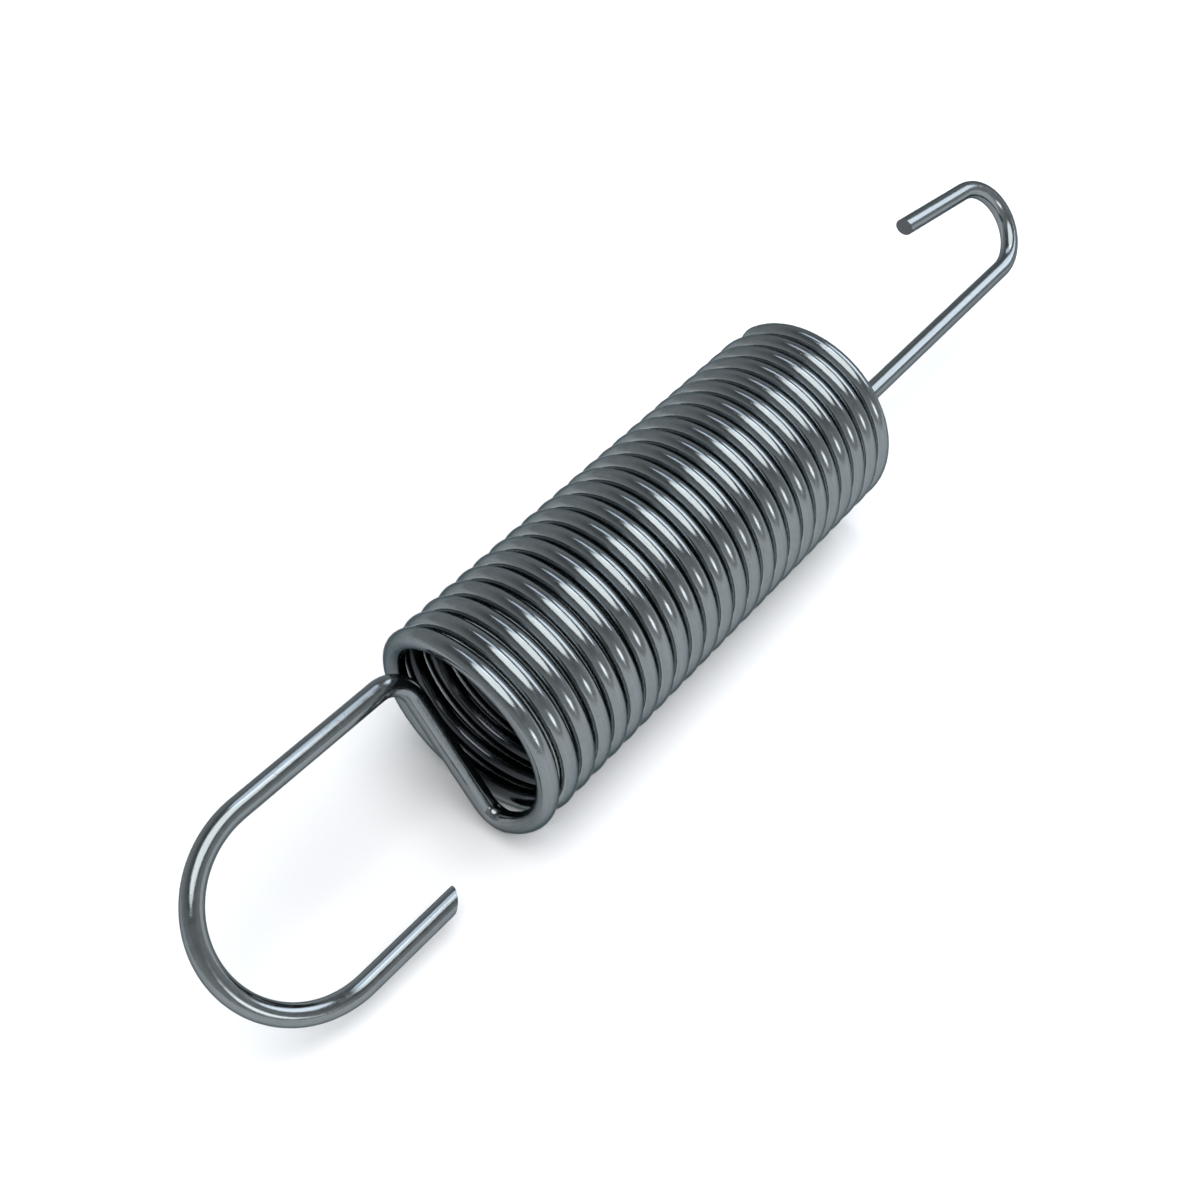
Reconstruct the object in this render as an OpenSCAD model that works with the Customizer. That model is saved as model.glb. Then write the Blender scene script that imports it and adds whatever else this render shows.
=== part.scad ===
// Extension spring with two long open hooks, wound from one length of wire.
// The coil axis lies along X and the spring rests on its coil; Z points up.
// The origin is midway between the hook tips, on the surface the spring lies on.

/* [Wire] */
// diameter of the wire
wire_d = 1.04; // [0.8:0.02:1.2]
// flats round the wire section
wire_sides = 10; // [8:1:11]

/* [Coil] */
// outside diameter of the coil
coil_od = 11; // [10:0.1:13]
// whole turns between the two crossing wires
full_turns = 23; // [10:1:24]
// air gap between one turn and the next
turn_gap = 0.12; // [0.02:0.01:0.3]
// hand of the winding
hand = -1; // [-1:left, 1:right]
// steps round one turn
turn_steps = 20; // [16:1:22]
// turn of the hook plane about the coil axis, from lying flat
hook_roll = 46; // [0:1:90]

/* [Near hook] */
// distance the start of the first turn stands out along the axis
near_lead = 0.34; // [0.3:0.02:1]
// part of a turn over which the first turn is drawn out to it
near_lead_span = 110; // [90:5:270]
// distance the corner of the leg stands out from the first turn
near_stand = 0.75; // [0.65:0.05:1.5]
// angle from the hook plane at which the first turn is bent across
near_start = 191; // [185:1:215]
// distance from the first turn to the centre of the eye
near_eye_reach = 10.2; // [8:0.05:20]
// distance of the eye centre from the coil axis
near_eye_offset = -0.42; // [-1:0.02:1]
// radius of the eye, to the middle of the wire
near_eye_r = 4.74; // [3.5:0.02:5]
// lean of both straight legs to the coil axis
near_lean = 1.5; // [0:0.1:3]
// length of the straight tail after the eye
near_tail = 5.2; // [1:0.1:7]
// slant of the cut across the tail
near_cut = 38; // [0:1:45]
// bend radius where the leg meets the crossing wire
near_leg_bend = 1.5; // [0.8:0.1:2]
// bend radius where the crossing wire meets the first turn
near_turn_bend = 1; // [0.8:0.1:1.4]

/* [Far hook] */
// distance the crossing wire stands out from the last turn
far_lead = 0.9; // [0.7:0.1:2]
// distance from the last turn to the centre of the eye
far_eye_reach = 19.75; // [12:0.05:26]
// distance of the eye centre from the coil axis
far_eye_offset = 0.71; // [-0.2:0.01:1.2]
// radius of the eye, to the middle of the wire
far_eye_r = 2.62; // [2.2:0.02:3.4]
// lean of the long leg to the coil axis
far_lean = 0.4; // [0:0.1:2]
// angle at which the tail spreads from the axis line
far_spread = 7.3; // [0:0.1:12]
// length of the straight tail after the eye
far_tail = 6; // [1:0.1:9]
// slant of the cut across the tail
far_cut = 13; // [0:1:45]
// bend radius where the leg meets the crossing wire
far_leg_bend = 1.2; // [0.8:0.1:1.6]
// bend radius where the crossing wire meets the last turn
far_turn_bend = 1.2; // [0.8:0.1:1.6]

/* [View] */
// which piece to draw

/* [Hidden] */

wire_r = wire_d / 2;
coil_r = coil_od / 2 - wire_r;
pitch = wire_d + turn_gap;

// the winding, counted in degrees from the first bend to the last
sweep = near_start + 360 * full_turns;
steps = ceil(sweep / 360 * turn_steps);
coil_len = pitch * sweep / 360;

// place of each eye along the axis, from the first turn
near_eye_x = -near_eye_reach;
far_eye_x = coil_len + far_eye_reach;

// outermost points of the wire, and the point midway between them
near_end_x = near_eye_x - near_eye_r - wire_r;
far_end_x = far_eye_x + far_eye_r + wire_r;
middle_x = (near_end_x + far_end_x) / 2;

// steps round each eye and each small bend
eye_steps = 24;
bend_steps = 6;

function unit(v) = v / norm(v);

// smooth rise from 0 to 1
function ease(t) = t <= 0 ? 0 : t * t * (3 - 2 * t);

// points on an arc in the hook plane
function arc(cx, cu, r, a0, a1) = [
    for (i = [0 : eye_steps])
        let (a = a0 + (a1 - a0) * i / eye_steps)
        [cx + r * cos(a), cu + r * sin(a), 0]
];

// points on the round of radius r that replaces the corner b between a and c
function bend(a, b, c, r) =
    let (
        p = unit(a - b),
        q = unit(c - b),
        half = acos(p * q) / 2,
        mid = b + unit(p + q) * r / sin(half),
        s = b + p * r / tan(half) - mid,
        e = b + q * r / tan(half) - mid,
        turn = 180 - 2 * half
    )
    [
        for (i = [0 : bend_steps])
            mid + (sin(turn * (1 - i / bend_steps)) * s
                + sin(turn * i / bend_steps) * e) / sin(turn)
    ];

// corner beyond the point p, in direction d, whose round of radius r starts at p
// and leads straight on to the point t
function foot(p, d, t, r) =
    let (
        a = (t - p) * d,
        b = norm(t - p - d * a),
        l = sqrt(a * a + b * b - 2 * b * r)
    )
    p + d * b * r / (a + l);

// position along the axis after the winding has turned through s degrees
function coil_x(s) = pitch * s / 360 - near_lead * ease(1 - s / near_lead_span);

// point of the winding: along the axis, in the hook plane, out of the hook plane
function coil_point(s) =
    let (a = near_start - s)
    [coil_x(s), coil_r * cos(a), -hand * coil_r * sin(a)];

// direction of the winding, taken round the coil
function coil_dir(s) =
    let (a = near_start - s)
    [0, sin(a), hand * cos(a)];

// near hook, from its cut tail round the eye
near_eye = arc(near_eye_x, near_eye_offset, near_eye_r, -90 - near_lean, -270 - near_lean);
near_dir = [cos(near_lean), -sin(near_lean), 0];
near_tip = near_eye[0] + near_dir * near_tail;

// corner between the near leg and the wire that crosses the coil mouth
near_leg_run = (-near_stand - near_eye[eye_steps][0]) / cos(near_lean);
near_corner = near_eye[eye_steps] + near_dir * near_leg_run;

// far hook, from its eye to its cut tail
far_eye = arc(far_eye_x, far_eye_offset, far_eye_r, -90 - far_lean, 90 - far_spread);
far_dir = [cos(far_lean), -sin(far_lean), 0];
far_leg_run = (far_eye[0][0] - coil_len - far_lead) / cos(far_lean);
far_corner = far_eye[0] - far_dir * far_leg_run;
far_tip = far_eye[eye_steps] + [-cos(far_spread), sin(far_spread), 0] * far_tail;

// corners between the crossing wires and the first and last turns
near_foot = foot(coil_point(0), -coil_dir(0), near_corner, near_turn_bend);
far_foot = foot(coil_point(sweep), coil_dir(sweep), far_corner, far_turn_bend);

// middle line of the whole wire
line = concat(
    [near_tip],
    near_eye,
    bend(near_eye[eye_steps], near_corner, near_foot, near_leg_bend),
    bend(near_corner, near_foot, coil_point(0), near_turn_bend),
    [for (i = [1 : steps - 1]) coil_point(sweep * i / steps)],
    bend(coil_point(sweep), far_foot, far_corner, far_turn_bend),
    bend(far_foot, far_corner, far_eye[0], far_leg_bend),
    far_eye,
    [far_tip]
);
last = len(line) - 1;

// direction of the wire at each point of the middle line
along = [
    for (i = [0 : last])
        i == 0 ? unit(line[1] - line[0])
        : i == last ? unit(line[last] - line[last - 1])
        : unit(unit(line[i] - line[i - 1]) + unit(line[i + 1] - line[i]))
];

// a direction across the wire, carried along it without twist
across = [
    for (
        i = 0, n = [0, 0, 1];
        i <= last;
        i = i + 1,
        n = i > last ? n : unit(n - along[i] * (n * along[i]))
    ) n
];

// one ring of points round the wire; slant tilts the ring in the hook plane
function ring(i, slant) = [
    for (k = [0 : wire_sides - 1])
        let (
            a = 360 * k / wire_sides,
            off = wire_r * (cos(a) * across[i] + sin(a) * cross(along[i], across[i]))
        )
        line[i] + off + along[i] * off[1] * tan(slant)
];

// the bent wire, cut square or slanting at both tails
module wire_body() {
    rings = [
        for (i = [0 : last])
            ring(i, i == 0 ? -near_cut : i == last ? far_cut : 0)
    ];
    points = [for (r = rings) each r];
    sides = [
        for (i = [0 : last - 1])
            for (k = [0 : wire_sides - 1])
                let (
                    a = i * wire_sides + k,
                    b = i * wire_sides + (k + 1) % wire_sides
                )
                each [
                    [a, b, b + wire_sides],
                    [a, b + wire_sides, a + wire_sides]
                ]
    ];
    start_cap = [for (k = [wire_sides - 1 : -1 : 0]) k];
    end_cap = [for (k = [0 : wire_sides - 1]) last * wire_sides + k];
    polyhedron(points, concat([start_cap], sides, [end_cap]));
}

// the whole spring, rolled about its axis and laid on the floor
module spring_wire() {
    color([0.76, 0.78, 0.79])
    translate([-middle_x, 0, coil_od / 2])
    rotate([hook_roll, 0, 0])
    wire_body();
}

spring_wire();
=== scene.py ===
import bpy
import math
from mathutils import Vector, Matrix


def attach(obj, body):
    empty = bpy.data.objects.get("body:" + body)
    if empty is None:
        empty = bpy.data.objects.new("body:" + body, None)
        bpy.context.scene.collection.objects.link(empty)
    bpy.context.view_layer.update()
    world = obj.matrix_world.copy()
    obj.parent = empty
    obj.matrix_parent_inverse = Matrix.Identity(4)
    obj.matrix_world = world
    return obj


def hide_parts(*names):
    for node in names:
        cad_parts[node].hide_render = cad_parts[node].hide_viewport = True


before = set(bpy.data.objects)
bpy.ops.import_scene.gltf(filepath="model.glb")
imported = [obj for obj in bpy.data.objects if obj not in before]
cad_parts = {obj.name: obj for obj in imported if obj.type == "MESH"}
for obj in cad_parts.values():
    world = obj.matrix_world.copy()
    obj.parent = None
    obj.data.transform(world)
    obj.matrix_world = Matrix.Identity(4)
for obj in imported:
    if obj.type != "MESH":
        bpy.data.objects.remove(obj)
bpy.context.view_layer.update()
print("frame loaded")

mm = 0.001

# one length of wire: both hooks and the coil between them, in millimetres and degrees
wire = {
    "diameter": 1.04,
    "coilDiameter": 11.0,
    "turnGap": 0.12,
    "wholeTurns": 23,
    "hand": -1,                 # -1 left, 1 right
    "hookRoll": 46.0,           # turn of the hook plane about the coil axis
    "nearLead": 0.34,           # how far the first turn leans out of the coil
    "nearLeadSpan": 110.0,      # angle over which it leans out
    "nearStand": 0.75,          # from the coil's end to the corner at the leg
    "nearStart": 191.0,         # angle at which the first turn starts
    "nearEyeReach": 10.2,       # from the coil's end to the middle of the eye
    "nearEyeOffset": -0.42,     # from the coil axis to the middle of the eye
    "nearEyeRadius": 4.74,
    "nearLean": 1.5,            # lean of the leg and the tail
    "nearTail": 5.2,
    "nearCut": 38.0,
    "nearLegBend": 1.5,
    "nearTurnBend": 1.0,
    "farLead": 0.9,             # from the last turn to the corner at the leg
    "farEyeReach": 19.75,
    "farEyeOffset": 0.71,
    "farEyeRadius": 2.62,
    "farLean": 0.4,
    "farSpread": 7.3,           # how far the tail opens away from the leg
    "farTail": 6.0,
    "farCut": 13.0,
    "farLegBend": 1.2,
    "farTurnBend": 1.2,
    "cutSteps": [0.03, 0.07, 0.14, 0.6],            # points behind each cut
    "cutRadii": [0.90, 0.965, 0.99, 1.0, 1.0],      # share of the radius, from the cut on
    "stepsRoundTurn": 64,
    "stepsRoundEye": 64,
    "stepsRoundBend": 16,
    "sides": 32,
}


def ease(t):
    return 0.0 if t <= 0 else t * t * (3 - 2 * t)


def hookArc(cx, cu, radius, start, end):
    count = wire["stepsRoundEye"]
    points = []
    for i in range(count + 1):
        a = math.radians(start + (end - start) * i / count)
        points.append(Vector((cx + radius * math.cos(a), cu + radius * math.sin(a), 0)))
    return points


def roundCorner(before, corner, after, radius):
    # points on the round that replaces a sharp corner
    p = (before - corner).normalized()
    q = (after - corner).normalized()
    half = math.acos(p.dot(q)) / 2
    middle = corner + (p + q).normalized() * (radius / math.sin(half))
    s = corner + p * (radius / math.tan(half)) - middle
    e = corner + q * (radius / math.tan(half)) - middle
    turn = math.pi - 2 * half
    count = wire["stepsRoundBend"]
    points = []
    for i in range(count + 1):
        f = i / count
        arm = s * math.sin(turn * (1 - f)) + e * math.sin(turn * f)
        points.append(middle + arm / math.sin(turn))
    return points


def footCorner(point, direction, target, radius):
    # corner beyond a point whose round starts there and leads straight to the target
    a = (target - point).dot(direction)
    b = (target - point - direction * a).length
    run = math.sqrt(a * a + b * b - 2 * b * radius)
    return point + direction * (b * radius / (a + run))


def coilLength():
    # from the start of the first turn to the end of the last, to the middle of the wire
    pitch = wire["diameter"] + wire["turnGap"]
    return pitch * (wire["nearStart"] / 360 + wire["wholeTurns"])


def wireLine():
    # middle line of the wire: x along the coil, y in the hook plane, z out of it
    w = wire
    coilRadius = (w["coilDiameter"] - w["diameter"]) / 2
    pitch = w["diameter"] + w["turnGap"]
    sweep = w["nearStart"] + 360 * w["wholeTurns"]
    steps = math.ceil(sweep / 360 * w["stepsRoundTurn"])

    def coilPoint(s):
        a = math.radians(w["nearStart"] - s)
        x = pitch * s / 360 - w["nearLead"] * ease(1 - s / w["nearLeadSpan"])
        return Vector((x, coilRadius * math.cos(a), -w["hand"] * coilRadius * math.sin(a)))

    def coilDirection(s):
        a = math.radians(w["nearStart"] - s)
        return Vector((0, math.sin(a), w["hand"] * math.cos(a)))

    nearEye = hookArc(-w["nearEyeReach"], w["nearEyeOffset"], w["nearEyeRadius"],
                      -90 - w["nearLean"], -270 - w["nearLean"])
    lean = math.radians(w["nearLean"])
    nearDirection = Vector((math.cos(lean), -math.sin(lean), 0))
    nearTip = nearEye[0] + nearDirection * w["nearTail"]
    nearLeg = (-w["nearStand"] - nearEye[-1].x) / math.cos(lean)
    nearCorner = nearEye[-1] + nearDirection * nearLeg
    nearFoot = footCorner(coilPoint(0), -coilDirection(0), nearCorner, w["nearTurnBend"])

    farEyeX = coilLength() + w["farEyeReach"]
    farEye = hookArc(farEyeX, w["farEyeOffset"], w["farEyeRadius"],
                     -90 - w["farLean"], 90 - w["farSpread"])
    lean = math.radians(w["farLean"])
    farDirection = Vector((math.cos(lean), -math.sin(lean), 0))
    farLeg = (farEye[0].x - coilLength() - w["farLead"]) / math.cos(lean)
    farCorner = farEye[0] - farDirection * farLeg
    farFoot = footCorner(coilPoint(sweep), coilDirection(sweep), farCorner, w["farTurnBend"])
    spread = math.radians(w["farSpread"])
    farTip = farEye[-1] + Vector((-math.cos(spread), math.sin(spread), 0)) * w["farTail"]

    points = [nearTip]
    points += nearEye
    points += roundCorner(nearEye[-1], nearCorner, nearFoot, w["nearLegBend"])
    points += roundCorner(nearCorner, nearFoot, coilPoint(0), w["nearTurnBend"])
    points += [coilPoint(sweep * i / steps) for i in range(1, steps)]
    points += roundCorner(coilPoint(sweep), farFoot, farCorner, w["farTurnBend"])
    points += roundCorner(farFoot, farCorner, farEye[0], w["farLegBend"])
    points += farEye
    points += [farTip]

    nearEnd = -w["nearEyeReach"] - w["nearEyeRadius"] - w["diameter"] / 2
    farEnd = farEyeX + w["farEyeRadius"] + w["diameter"] / 2
    return points, (nearEnd + farEnd) / 2


def toRow(point, middle):
    # from the hook plane to the row's axes, in metres
    roll = Matrix.Rotation(math.radians(wire["hookRoll"]), 3, "X")
    p = roll @ point
    return Vector((p.x - middle, p.y, p.z + wire["coilDiameter"] / 2)) * mm


def splitEnds(points):
    # extra points near both cuts, so that the rounded rim of each cut is short
    def near(a, b, distance):
        return a + (b - a).normalized() * distance
    first, last = points[0], points[-1]
    steps, rim = wire["cutSteps"], wire["cutRadii"]
    start = [first] + [near(first, points[1], d) for d in steps]
    end = [near(last, points[-2], d) for d in steps[::-1]] + [last]
    line = start + points[1:-1] + end
    radii = rim + [1.0] * (len(points) - 2) + rim[::-1]
    nearSlant = -math.tan(math.radians(wire["nearCut"]))
    farSlant = math.tan(math.radians(wire["farCut"]))
    slants = [nearSlant] * len(steps) + [0.0] * len(points) + [farSlant] * len(steps)
    return line, radii, slants


def linear(hexColour):
    out = []
    for i in (1, 3, 5):
        c = int(hexColour[i:i + 2], 16) / 255
        out.append(c / 12.92 if c <= 0.04045 else ((c + 0.055) / 1.055) ** 2.4)
    return (*out, 1.0)


def emptyTree(owner):
    # node tree of a material or of the world, cleared
    owner.use_nodes = True
    owner.node_tree.nodes.clear()
    return owner.node_tree


def addNode(tree, kind, settings=None, links=None, values=None):
    # one node with its settings, its plain values and what feeds it
    n = tree.nodes.new(kind)
    for key, value in (settings or {}).items():
        setattr(n, key, value)
    for key, value in (values or {}).items():
        n.inputs[key].default_value = value
    for key, source in (links or {}).items():
        tree.links.new(source, n.inputs[key])
    return n


def setRamp(n, stops):
    ramp = n.color_ramp
    while len(ramp.elements) > len(stops):
        ramp.elements.remove(ramp.elements[-1])
    while len(ramp.elements) < len(stops):
        ramp.elements.new(1.0)
    for element, (place, colour) in zip(ramp.elements, stops):
        element.position = place
        element.color = colour


# lengths in millimetres; a bump is its strength and its height
zincSteel = {
    "bright": "#7f8587",
    "grey": "#6f7577",
    "edge": "#8c9193",                  # tint at a glancing angle
    "stain": "#57595a",
    "paintedGrooveLight": "#a2a8a9",             # painted light: paler colour between the turns, standing in for light bounced into the grooves
    "grooveLightTop": 5.32,                 # distance from the coil axis where that begins
    "grooveLightFull": 5.04,                # distance at which the painted groove light is full
    "paintedShadeInside": "#45494c",                # painted shade: darker colour on the inner side of the turns, where the coil's interior lies in shade
    "insideEdge": 4.9,                  # distance from the coil axis where that begins
    "insideFull": 4.7,                  # distance at which the painted shade is full
    "roughness": (0.11, 0.21),          # of the smoothest and the dullest patches
    "drawLine": 0.05,                   # width of a drawing line, far coarser than a real one
    "drawRun": 6.0,                     # so that it shows, and its length
    "drawTone": (0.86, 1.08),           # brightness of the dark and the bright lines
    "drawBump": (0.25, 0.004),
    "spangle": 0.35,                    # size of a patch in the plating
    "spangleBump": (0.3, 0.008),
    "cloud": 4.0,                       # size of a cloudy region
    "cloudWithPits": (0.56, 0.68),      # how cloudy it is where pits begin and are full
    "pit": 0.16,                        # spacing of the pits
    "pitWall": (0.05, 0.22),            # a pit's floor and rim, as shares of the spacing
    "pitRoughness": 0.25,               # added in a pit
    "pitBump": (0.4, 0.01),
    "noiseSpan": (0.3, 0.7),            # the part of a noise that is used
}


def zincPlatedSpringSteel():
    # hard-drawn spring wire, barrel-plated with bright zinc: a clear cool reflection,
    # drawn out along the wire by faint die lines and clouded by the plating
    z = zincSteel
    middle = wireLine()[1]
    m = bpy.data.materials.new("zinc-plated drawn spring steel")
    t = emptyTree(m)
    wireSpace = addNode(t, "ShaderNodeAttribute", {"attribute_name": "alongWire"})
    where = addNode(t, "ShaderNodeTexCoord")
    fine = 1 / (z["drawLine"] * mm)
    lines = addNode(t, "ShaderNodeMapping", {}, {"Vector": wireSpace.outputs["Vector"]},
                    {"Scale": (fine, fine, 1 / (z["drawRun"] * mm))})
    drawn = addNode(t, "ShaderNodeTexNoise", {}, {"Vector": lines.outputs["Vector"]},
                    {"Scale": 1.0, "Detail": 3.0, "Roughness": 0.6})
    patches = addNode(t, "ShaderNodeTexNoise", {}, {"Vector": where.outputs["Object"]},
                      {"Scale": 1 / (z["spangle"] * mm), "Detail": 4.0, "Roughness": 0.55})
    clouds = addNode(t, "ShaderNodeTexNoise", {}, {"Vector": where.outputs["Object"]},
                     {"Scale": 1 / (z["cloud"] * mm), "Detail": 2.0})
    pits = addNode(t, "ShaderNodeTexVoronoi", {"feature": "F1"},
                   {"Vector": where.outputs["Object"]},
                   {"Scale": 1 / (z["pit"] * mm), "Randomness": 1.0})
    pitFloor, pitRim = z["pitWall"]
    pitMask = addNode(t, "ShaderNodeMapRange", {}, {"Value": pits.outputs["Distance"]},
                      {"From Min": pitFloor, "From Max": pitRim, "To Min": 1.0, "To Max": 0.0})
    firstPits, allPits = z["cloudWithPits"]
    rare = addNode(t, "ShaderNodeMapRange", {}, {"Value": clouds.outputs["Fac"]},
                   {"From Min": firstPits, "From Max": allPits, "To Min": 0.0, "To Max": 1.0})
    pitted = addNode(t, "ShaderNodeMath", {"operation": "MULTIPLY"},
                     {0: pitMask.outputs["Result"], 1: rare.outputs["Result"]})
    tone = addNode(t, "ShaderNodeMix", {"data_type": "RGBA"}, {0: patches.outputs["Fac"]},
                   {6: linear(z["grey"]), 7: linear(z["bright"])})
    low, high = z["noiseSpan"]
    darkLine, brightLine = z["drawTone"]
    streak = addNode(t, "ShaderNodeMapRange", {}, {"Value": drawn.outputs["Fac"]},
                     {"From Min": low, "From Max": high,
                      "To Min": darkLine, "To Max": brightLine})
    toned = addNode(t, "ShaderNodeMix", {"data_type": "RGBA", "blend_type": "MULTIPLY"},
                    {6: tone.outputs[2], 7: streak.outputs["Result"]}, {0: 1.0})

    # distance of a point from the coil axis, and whether it is on the coil
    fromAxis = addNode(t, "ShaderNodeVectorMath", {"operation": "SUBTRACT"},
                       {0: where.outputs["Object"]},
                       {1: ((coilLength() / 2 - middle) * mm, 0, wire["coilDiameter"] / 2 * mm)})
    radial = addNode(t, "ShaderNodeVectorMath", {"operation": "MULTIPLY"},
                     {0: fromAxis.outputs["Vector"]}, {1: (0, 1, 1)})
    distance = addNode(t, "ShaderNodeVectorMath", {"operation": "LENGTH"},
                       {0: radial.outputs["Vector"]})
    along = addNode(t, "ShaderNodeSeparateXYZ", {}, {0: fromAxis.outputs["Vector"]})
    onCoil = addNode(t, "ShaderNodeMath", {"operation": "COMPARE"}, {0: along.outputs["X"]},
                     {1: 0.0, 2: (coilLength() - wire["diameter"]) / 2 * mm})

    # 0 on the crests of the turns, 1 in the grooves between them, where a paler colour and a paler
    # tint are painted in as bounced light
    below = addNode(t, "ShaderNodeMapRange", {"interpolation_type": "SMOOTHSTEP"},
                    {"Value": distance.outputs["Value"]},
                    {"From Min": z["grooveLightTop"] * mm, "From Max": z["grooveLightFull"] * mm})
    outside = addNode(t, "ShaderNodeMapRange", {"interpolation_type": "SMOOTHSTEP"},
                      {"Value": distance.outputs["Value"]},
                      {"From Min": z["insideFull"] * mm, "From Max": z["insideEdge"] * mm})
    groove = addNode(t, "ShaderNodeMath", {"operation": "MULTIPLY"},
                     {0: below.outputs["Result"], 1: outside.outputs["Result"]})
    paintedGrooveLight = addNode(t, "ShaderNodeMath", {"operation": "MULTIPLY"},
                        {0: groove.outputs["Value"], 1: onCoil.outputs["Value"]})
    # painted light: the paler groove colour laid over the wire's own tone
    kept = addNode(t, "ShaderNodeMix", {"data_type": "RGBA"},
                   {0: paintedGrooveLight.outputs["Value"], 6: toned.outputs[2]},
                   {7: linear(z["paintedGrooveLight"])})
    # tint at an angle, raised to the painted groove light in the grooves
    edgeTintAndGrooveLight = addNode(t, "ShaderNodeMix", {"data_type": "RGBA"},
                       {0: paintedGrooveLight.outputs["Value"]},
                       {6: linear(z["edge"]), 7: linear(z["paintedGrooveLight"])})

    # 1 on the inner side of the turns, which is darkened with painted shade
    within = addNode(t, "ShaderNodeMath", {"operation": "SUBTRACT"},
                     {1: outside.outputs["Result"]}, {0: 1.0})
    inner = addNode(t, "ShaderNodeMath", {"operation": "MULTIPLY"},
                    {0: within.outputs["Value"], 1: onCoil.outputs["Value"]})
    shadedInside = addNode(t, "ShaderNodeMix", {"data_type": "RGBA"},
                   {0: inner.outputs["Value"], 6: kept.outputs[2]}, {7: linear(z["paintedShadeInside"])})
    stained = addNode(t, "ShaderNodeMix", {"data_type": "RGBA"},
                      {0: pitted.outputs["Value"], 6: shadedInside.outputs[2]},
                      {7: linear(z["stain"])})

    smoothest, dullest = z["roughness"]
    rough = addNode(t, "ShaderNodeMapRange", {}, {"Value": patches.outputs["Fac"]},
                    {"From Min": low, "From Max": high, "To Min": smoothest, "To Max": dullest})
    rougher = addNode(t, "ShaderNodeMath", {"operation": "MULTIPLY_ADD"},
                      {0: pitted.outputs["Value"], 2: rough.outputs["Result"]},
                      {1: z["pitRoughness"]})

    normal = None
    for name, height, invert in (("drawBump", drawn.outputs["Fac"], False),
                                 ("spangleBump", patches.outputs["Fac"], False),
                                 ("pitBump", pitted.outputs["Value"], True)):
        strength, rise = z[name]
        links = {"Height": height, "Normal": normal} if normal else {"Height": height}
        bump = addNode(t, "ShaderNodeBump", {"invert": invert}, links,
                       {"Strength": strength, "Distance": rise * mm})
        normal = bump.outputs["Normal"]
    surface = addNode(t, "ShaderNodeBsdfPrincipled", {},
                      {"Base Color": stained.outputs[2], "Roughness": rougher.outputs["Value"],
                       "Normal": normal, "Specular Tint": edgeTintAndGrooveLight.outputs[2]},
                      {"Metallic": 1.0})
    addNode(t, "ShaderNodeOutputMaterial", {}, {"Surface": surface.outputs["BSDF"]})
    return m


# lengths in millimetres
cutSteel = {
    "dark": "#3a3c3e",
    "bright": "#6c6f71",
    "tear": 0.06,                   # width of a tear line
    "run": 0.5,                     # length of a tear line
    "bump": (0.6, 0.03),            # strength and height of the tearing
    "noiseSpan": (0.3, 0.7),        # the part of the noise that is used
    "roughness": (0.34, 0.55),
}


def shearedSteel():
    # bare steel where side cutters went through: dull, grey and torn across
    c = cutSteel
    m = bpy.data.materials.new("sheared bare steel")
    t = emptyTree(m)
    where = addNode(t, "ShaderNodeTexCoord")
    run = 1 / (c["run"] * mm)
    stretch = addNode(t, "ShaderNodeMapping", {}, {"Vector": where.outputs["Object"]},
                      {"Scale": (run, 1 / (c["tear"] * mm), run)})
    torn = addNode(t, "ShaderNodeTexNoise", {}, {"Vector": stretch.outputs["Vector"]},
                   {"Scale": 1.0, "Detail": 5.0, "Roughness": 0.65})
    tone = addNode(t, "ShaderNodeMix", {"data_type": "RGBA"}, {0: torn.outputs["Fac"]},
                   {6: linear(c["dark"]), 7: linear(c["bright"])})
    low, high = c["noiseSpan"]
    smoothest, dullest = c["roughness"]
    rough = addNode(t, "ShaderNodeMapRange", {}, {"Value": torn.outputs["Fac"]},
                    {"From Min": low, "From Max": high, "To Min": smoothest, "To Max": dullest})
    strength, rise = c["bump"]
    bump = addNode(t, "ShaderNodeBump", {}, {"Height": torn.outputs["Fac"]},
                   {"Strength": strength, "Distance": rise * mm})
    surface = addNode(t, "ShaderNodeBsdfPrincipled", {},
                      {"Base Color": tone.outputs[2], "Roughness": rough.outputs["Result"],
                       "Normal": bump.outputs["Normal"]}, {"Metallic": 1.0})
    addNode(t, "ShaderNodeOutputMaterial", {}, {"Surface": surface.outputs["BSDF"]})
    return m


plated = zincPlatedSpringSteel()
sheared = shearedSteel()
print("materials ready")


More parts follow.
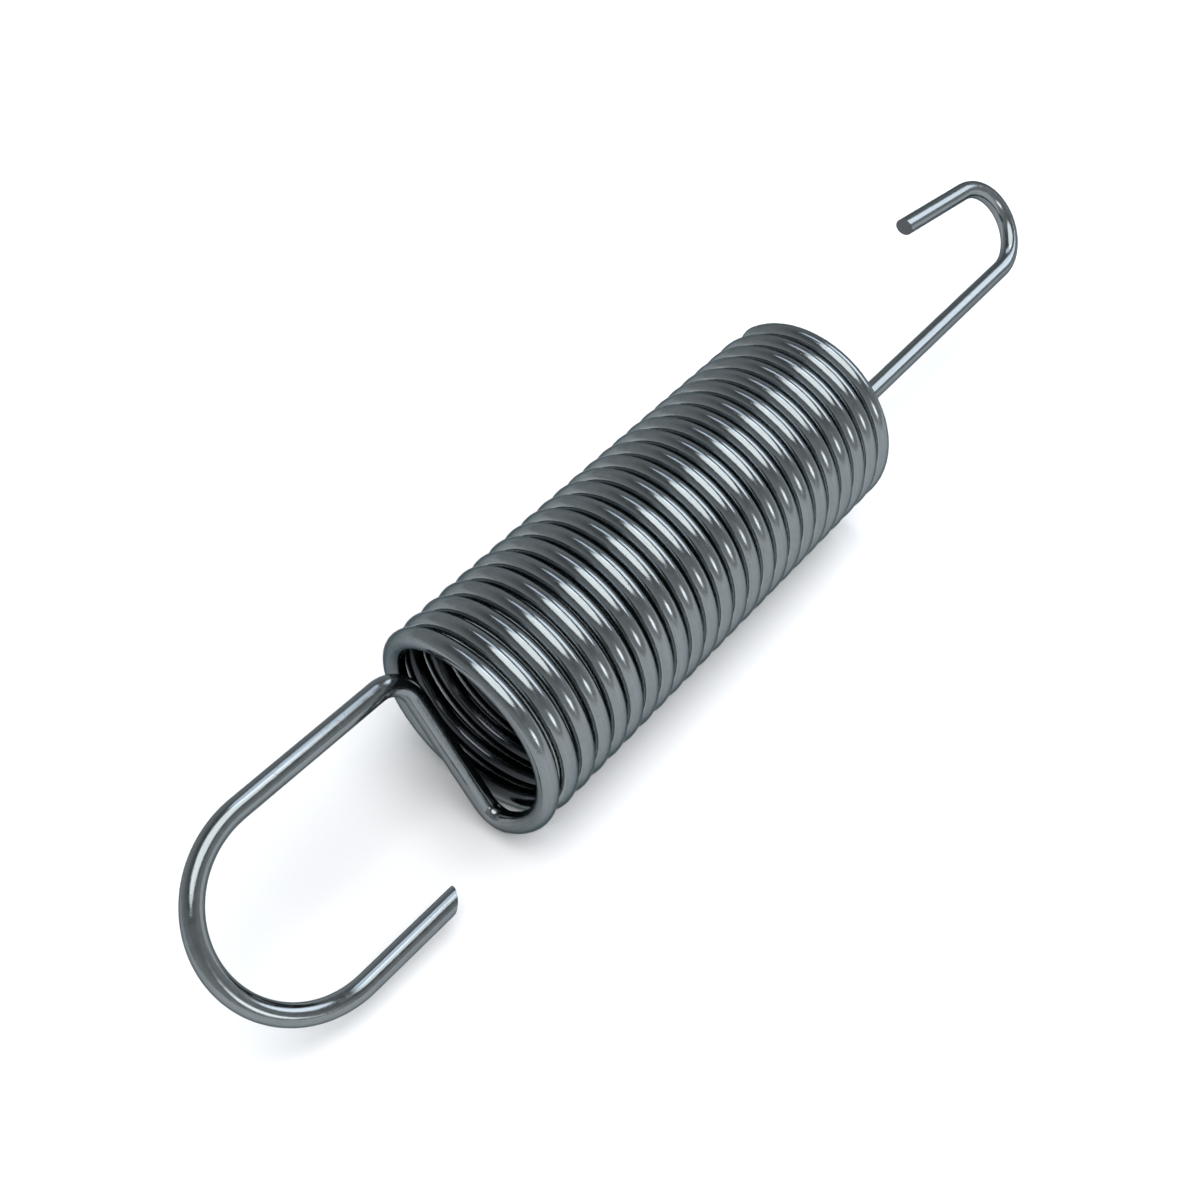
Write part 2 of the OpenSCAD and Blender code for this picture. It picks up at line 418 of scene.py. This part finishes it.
def sweepTree():
    # sweeps a round section along the guide; each guide point carries its radius, its
    # direction, its distance along the wire and the slant of the cut there
    tree = bpy.data.node_groups.new("sweepWire", "GeometryNodeTree")
    for name, kind in (("Geometry", "NodeSocketGeometry"), ("Wire radius", "NodeSocketFloat"),
                       ("Sides", "NodeSocketInt"), ("Across", "NodeSocketVector")):
        tree.interface.new_socket(name=name, in_out="INPUT", socket_type=kind)
    tree.interface.new_socket(name="Geometry", in_out="OUTPUT", socket_type="NodeSocketGeometry")
    given = addNode(tree, "NodeGroupInput")
    here = addNode(tree, "GeometryNodeInputPosition")
    stored = {}
    for name, kind in (("rimRadius", "FLOAT"), ("run", "FLOAT"), ("slant", "FLOAT"),
                       ("ahead", "FLOAT_VECTOR"), ("middle", "FLOAT_VECTOR"),
                       ("roundPlace", "FLOAT_VECTOR")):
        reader = addNode(tree, "GeometryNodeInputNamedAttribute", {"data_type": kind}, {},
                         {"Name": name})
        stored[name] = reader.outputs["Attribute"]

    path = addNode(tree, "GeometryNodeMeshToCurve", {}, {"Mesh": given.outputs["Geometry"]})
    sized = addNode(tree, "GeometryNodeSetCurveRadius", {},
                    {"Curve": path.outputs["Curve"], "Radius": stored["rimRadius"]})
    circle = addNode(tree, "GeometryNodeCurvePrimitiveCircle", {"mode": "RADIUS"},
                     {"Resolution": given.outputs["Sides"],
                      "Radius": given.outputs["Wire radius"]})
    section = addNode(tree, "GeometryNodeStoreNamedAttribute",
                      {"data_type": "FLOAT_VECTOR", "domain": "POINT"},
                      {"Geometry": circle.outputs["Curve"], "Value": here.outputs["Position"]},
                      {"Name": "roundPlace"})
    swept = addNode(tree, "GeometryNodeCurveToMesh", {},
                    {"Curve": sized.outputs["Curve"], "Profile Curve": section.outputs["Geometry"]},
                    {"Fill Caps": True})

    # slant both cuts: the rings at a tip are sheared along the wire
    out = addNode(tree, "ShaderNodeVectorMath", {"operation": "SUBTRACT"},
                  {0: here.outputs["Position"], 1: stored["middle"]})
    side = addNode(tree, "ShaderNodeVectorMath", {"operation": "DOT_PRODUCT"},
                   {0: out.outputs["Vector"], 1: given.outputs["Across"]})
    shear = addNode(tree, "ShaderNodeMath", {"operation": "MULTIPLY"},
                    {0: side.outputs["Value"], 1: stored["slant"]})
    push = addNode(tree, "ShaderNodeVectorMath", {"operation": "SCALE"},
                   {0: stored["ahead"], "Scale": shear.outputs["Value"]})
    cut = addNode(tree, "GeometryNodeSetPosition", {},
                  {"Geometry": swept.outputs["Mesh"], "Offset": push.outputs["Vector"]})

    # place on the unrolled wire, for the material
    parts = addNode(tree, "ShaderNodeSeparateXYZ", {}, {"Vector": stored["roundPlace"]})
    unrolled = addNode(tree, "ShaderNodeCombineXYZ", {},
                       {"X": parts.outputs["X"], "Y": parts.outputs["Y"], "Z": stored["run"]})
    kept = addNode(tree, "GeometryNodeStoreNamedAttribute",
                   {"data_type": "FLOAT_VECTOR", "domain": "POINT"},
                   {"Geometry": cut.outputs["Geometry"], "Value": unrolled.outputs["Vector"]},
                   {"Name": "alongWire"})
    smooth = addNode(tree, "GeometryNodeSetShadeSmooth", {},
                     {"Geometry": kept.outputs["Geometry"]})
    realised = addNode(tree, "GeometryNodeRealizeInstances", {},
                       {"Geometry": smooth.outputs["Geometry"]})
    coated = addNode(tree, "GeometryNodeSetMaterial", {},
                     {"Geometry": realised.outputs["Geometry"]}, {"Material": plated})
    addNode(tree, "NodeGroupOutput", {}, {"Geometry": coated.outputs["Geometry"]})
    return tree


def setInput(modifier, name, value):
    for item in modifier.node_group.interface.items_tree:
        if item.item_type == "SOCKET" and item.in_out == "INPUT" and item.name == name:
            modifier[item.identifier] = value


def guideMesh():
    # the middle line as a chain of edges, with what the sweep needs at each point
    points, middle = wireLine()
    points, radii, slants = splitEnds(points)
    places = [toRow(p, middle) for p in points]
    last = len(places) - 1
    runs = [0.0]
    aheads = []
    for i in range(last + 1):
        aheads.append((places[min(i + 1, last)] - places[max(i - 1, 0)]).normalized())
        if i:
            runs.append(runs[-1] + (places[i] - places[i - 1]).length)
    mesh = bpy.data.meshes.new("wireGuide")
    mesh.from_pydata(places, [(i, i + 1) for i in range(last)], [])
    for name, values in (("rimRadius", radii), ("run", runs), ("slant", slants)):
        attribute = mesh.attributes.new(name, "FLOAT", "POINT")
        attribute.data.foreach_set("value", values)
    for name, vectors in (("ahead", aheads), ("middle", places)):
        attribute = mesh.attributes.new(name, "FLOAT_VECTOR", "POINT")
        attribute.data.foreach_set("vector", [c for v in vectors for c in v])
    return mesh


def buildWire():
    guide = bpy.data.objects.new("wireGuide", guideMesh())
    bpy.context.scene.collection.objects.link(guide)
    modifier = guide.modifiers.new("sweepWire", "NODES")
    modifier.node_group = sweepTree()
    roll = math.radians(wire["hookRoll"])
    setInput(modifier, "Wire radius", wire["diameter"] / 2 * mm)
    setInput(modifier, "Sides", wire["sides"])
    setInput(modifier, "Across", (0.0, math.cos(roll), math.sin(roll)))
    bpy.context.view_layer.update()
    ready = guide.evaluated_get(bpy.context.evaluated_depsgraph_get())
    mesh = bpy.data.meshes.new_from_object(ready)
    bpy.data.objects.remove(guide)
    piece = bpy.data.objects.new("springWire", mesh)
    bpy.context.scene.collection.objects.link(piece)
    return piece


springWire = buildWire()
springWire.data.materials.append(sheared)
for polygon in springWire.data.polygons:
    if len(polygon.vertices) > 4:   # the two cut faces
        polygon.material_index = len(springWire.data.materials) - 1
        polygon.use_smooth = False
print("wire built:", len(springWire.data.vertices), "points")
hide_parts("spring_wire")
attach(springWire, "root")

# distances in metres; a lamp's turn is the angle from +Y up and over towards -Y, its lean
# the angle towards +X, its size along X and round the coil; the room runs from the horizon up
studio = {
    "floor": "#f6f6f6",
    "floorReach": 2.0,
    "litNear": 0.10,        # the card is lit by the lamps alone within this distance
    "litFar": 0.45,         # and shows as plain white beyond this one
    "distance": 0.35,
    "room": [(0.0, "#dadddf"), (0.32, "#ced1d3"), (0.62, "#acafb1"),
             (0.80, "#828587"), (1.0, "#828587")],
    "lamps": {
        "overhead": {"turn": 103.0, "lean": -7.0, "size": (0.36, 0.34), "power": 1.08,
                     "colour": "#ffffff"},
        "endPanel": {"turn": 112.0, "lean": 48.0, "size": (0.18, 0.30), "power": 0.50,
                     "colour": "#f0f5ff"},
        "window": {"turn": 76.0, "lean": 16.0, "size": (0.10, 0.27), "power": 0.19,
                   "colour": "#e6efff"},
        "lowLamp": {"turn": 162.0, "lean": -9.0, "size": (0.14, 0.09), "power": 0.13,
                    "colour": "#ffffff"},
    },
}


def paperFloor():
    # matt white card
    m = bpy.data.materials.new("matt white card")
    t = emptyTree(m)
    card = addNode(t, "ShaderNodeBsdfDiffuse", {}, {}, {"Color": linear(studio["floor"])})
    # far from the object the card shows as white, to the eye and in reflections alike
    white = addNode(t, "ShaderNodeEmission", {}, {}, {"Color": (1, 1, 1, 1), "Strength": 1.0})
    where = addNode(t, "ShaderNodeTexCoord")
    away = addNode(t, "ShaderNodeVectorMath", {"operation": "LENGTH"},
                   {0: where.outputs["Object"]})
    far = addNode(t, "ShaderNodeMapRange", {"interpolation_type": "SMOOTHSTEP"},
                  {"Value": away.outputs["Value"]},
                  {"From Min": studio["litNear"], "From Max": studio["litFar"]})
    rays = addNode(t, "ShaderNodeLightPath")
    seen = addNode(t, "ShaderNodeMath", {"operation": "MAXIMUM"},
                   {0: rays.outputs["Is Camera Ray"], 1: rays.outputs["Is Glossy Ray"]})
    shown = addNode(t, "ShaderNodeMath", {"operation": "MAXIMUM"},
                    {0: seen.outputs["Value"], 1: rays.outputs["Is Transmission Ray"]})
    share = addNode(t, "ShaderNodeMath", {"operation": "MULTIPLY"},
                    {0: shown.outputs["Value"], 1: far.outputs["Result"]})
    both = addNode(t, "ShaderNodeMixShader", {},
                   {0: share.outputs["Value"], 1: card.outputs["BSDF"],
                    2: white.outputs["Emission"]})
    addNode(t, "ShaderNodeOutputMaterial", {}, {"Surface": both.outputs["Shader"]})
    return m


def buildFloor():
    reach = studio["floorReach"]
    mesh = bpy.data.meshes.new("floor")
    corners = [(-reach, -reach, 0), (reach, -reach, 0), (reach, reach, 0), (-reach, reach, 0)]
    mesh.from_pydata(corners, [], [(0, 1, 2, 3)])
    mesh.materials.append(paperFloor())
    floor = bpy.data.objects.new("floor", mesh)
    bpy.context.scene.collection.objects.link(floor)


def softBox(name, values):
    turn, lean = math.radians(values["turn"]), math.radians(values["lean"])
    towards = Vector((math.sin(lean), math.cos(lean) * math.cos(turn),
                      math.cos(lean) * math.sin(turn)))
    side = (Vector((1, 0, 0)) - towards * towards.x).normalized()
    light = bpy.data.lights.new(name, "AREA")
    light.shape = "ELLIPSE"
    light.size, light.size_y = values["size"]
    light.energy = values["power"]
    light.color = linear(values["colour"])[:3]
    lamp = bpy.data.objects.new(name, light)
    aimed = Matrix((side, towards.cross(side), towards)).transposed().to_4x4()
    lamp.matrix_world = Matrix.Translation(towards * studio["distance"]) @ aimed
    bpy.context.scene.collection.objects.link(lamp)


def buildWorld():
    # dim room: paler towards the horizon, darker overhead
    world = bpy.data.worlds.new("studio")
    bpy.context.scene.world = world
    t = emptyTree(world)
    where = addNode(t, "ShaderNodeTexCoord")
    parts = addNode(t, "ShaderNodeSeparateXYZ", {}, {"Vector": where.outputs["Generated"]})
    ramp = addNode(t, "ShaderNodeValToRGB", {}, {"Fac": parts.outputs["Z"]})
    setRamp(ramp, [(height, linear(colour)) for height, colour in studio["room"]])
    sky = addNode(t, "ShaderNodeBackground", {}, {"Color": ramp.outputs["Color"]},
                  {"Strength": 1.0})
    addNode(t, "ShaderNodeOutputWorld", {}, {"Surface": sky.outputs["Background"]})


buildFloor()
for name, values in studio["lamps"].items():
    softBox(name, values)
buildWorld()

# place and aim in the row's axes; all in millimetres
view = {
    "place": (-43.977, -29.47, 60.743),
    "aim": (-7.316, 0.21, 5.5),
    "lens": 45.0,
    "sensor": 36.0,
    "clipStart": 1.0,
}
lens = bpy.data.cameras.new("camera")
lens.lens = view["lens"]
lens.sensor_width = view["sensor"]
lens.clip_start = view["clipStart"] * mm
camera = bpy.data.objects.new("camera", lens)
place = Vector(view["place"]) * mm
camera.location = place
camera.rotation_euler = (Vector(view["aim"]) * mm - place).to_track_quat("-Z", "Y").to_euler()
bpy.context.scene.collection.objects.link(camera)
bpy.context.scene.camera = camera
bpy.context.scene.view_settings.view_transform = "Standard"
print("studio ready")
